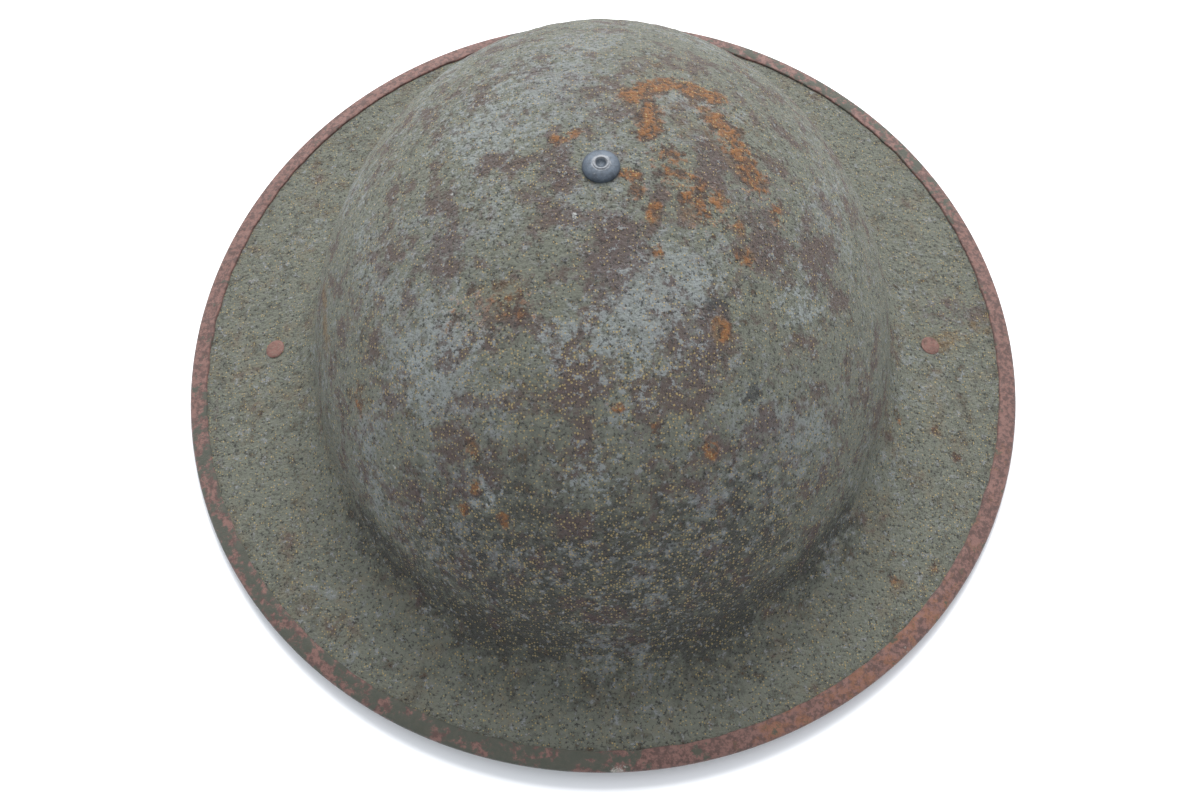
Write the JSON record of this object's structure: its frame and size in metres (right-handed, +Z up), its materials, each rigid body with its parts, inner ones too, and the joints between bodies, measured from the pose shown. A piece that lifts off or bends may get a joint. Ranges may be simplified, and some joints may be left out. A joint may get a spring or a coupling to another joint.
{
  "type": "steel trench helmet",
  "caption": "Steel trench helmet with a round bowl and wide brim, folded rim edging, riveted crown, rubber-sprung liner with net, wire bails and a two-piece buckled chin strap.",
  "frame": {"origin": "under the middle of the crown, on the surface that the rim rests on", "axes": "+Z up; -Y is the front of the helmet, towards the picture's camera; +X is the picture's right"},
  "size_m": [0.2879, 0.2954, 0.1191],
  "materials": {
    "painted_steel": "matt textured paint, worn and lightly rusted",
    "edging_steel": "rusted with remnants of paint",
    "rivet_steel": "dark, worn bright on the lip",
    "rusted_steel": "rusted",
    "buckle_steel": "dull, tarnished",
    "felt": "pressed wool felt",
    "webbing": "woven cotton",
    "rubber": "matt",
    "oilcloth": "black oilcloth, soft sheen",
    "twine": "knotted cotton twine",
    "leather": "aged vegetable-tanned leather"
  },
  "bodies": {
    "helmet": {"shell": "painted_steel", "rim_edging": "edging_steel", "crown_rivet": "rivet_steel", "crown_washer": "rivet_steel", "crown_pad": "felt", "cradle_strap_cross": "webbing", "cradle_strap_long": "webbing", "outer_band": "webbing", "rubber_buffers": "rubber", "headband": "oilcloth", "headband_felt": "felt", "crown_net": "twine", "net_lace": "twine", "bail_clip_left": "rusted_steel", "bail_clip_right": "rusted_steel", "bail_rivet_left": "rusted_steel", "bail_rivet_right": "rusted_steel"},
    "left_bail": {"bail_left": "rusted_steel"},
    "right_bail": {"bail_right": "rusted_steel"},
    "long_strap": {"chinstrap_long": "leather", "strap_rivets_long": "buckle_steel"},
    "short_strap": {"chinstrap_short": "leather", "strap_rivets_short": "buckle_steel"},
    "buckle": {"buckle_frame": "buckle_steel"},
    "tongue": {"buckle_tongue": "buckle_steel"},
    "keeper": {"strap_keeper": "leather"}
  },
  "joints": [
    {"name": "bail_left_swing", "type": "hinge", "parent": "helmet", "child": "left_bail", "pos_m": [-0.10393, 0, 0.01022], "axis": [0, 1, 0], "range_deg": [0, 95]},
    {"name": "bail_right_swing", "type": "hinge", "parent": "helmet", "child": "right_bail", "pos_m": [0.10393, 0, 0.01022], "axis": [0, -1, 0], "range_deg": [0, 95]},
    {"name": "long_strap_swing", "type": "hinge", "parent": "left_bail", "child": "long_strap", "pos_m": [-0.09204, 0, 0.00495], "axis": [0, 1, 0], "range_deg": [0, 60]},
    {"name": "short_strap_swing", "type": "hinge", "parent": "right_bail", "child": "short_strap", "pos_m": [0.09204, 0, 0.00495], "axis": [0, -1, 0], "range_deg": [0, 60]},
    {"name": "buckle_swing", "type": "hinge", "parent": "short_strap", "child": "buckle", "pos_m": [0.03604, 0, 0.00495], "axis": [0, 1, 0], "range_deg": [-60, 40]},
    {"name": "tongue_swing", "type": "hinge", "parent": "buckle", "child": "tongue", "pos_m": [0.03604, 0, 0.00495], "axis": [0, 1, 0], "range_deg": [0, 100]},
    {"name": "keeper_slide", "type": "slide", "parent": "short_strap", "child": "keeper", "axis": [1, 0, 0], "range_m": [-0.002, 0.009]}
  ]
}
